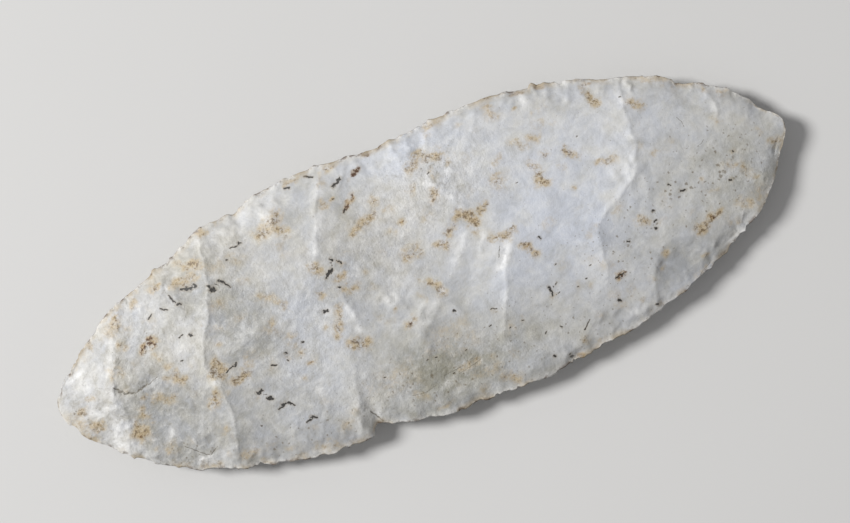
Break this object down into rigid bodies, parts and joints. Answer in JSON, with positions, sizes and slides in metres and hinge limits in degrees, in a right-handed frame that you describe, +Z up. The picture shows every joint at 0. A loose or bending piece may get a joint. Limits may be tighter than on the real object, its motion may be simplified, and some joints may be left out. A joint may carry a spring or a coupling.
{
  "type": "bipointed flaked stone blade",
  "caption": "Long, thin stone blade pointed at both ends, flaked over both faces, with a sharp, finely scalloped edge and a white weathered skin.",
  "frame": {"origin": "on the resting plane, under the middle of the blade's length and width", "axes": "+X along the blade from the blunter point to the sharper one, +Y across it, +Z up through its thickness, out of the face that the picture shows"},
  "size_m": [0.1906, 0.07, 0.0114],
  "materials": {
    "stone": "satin"
  },
  "bodies": {
    "root": {"bipointed_blade": "stone"}
  },
  "joints": []
}
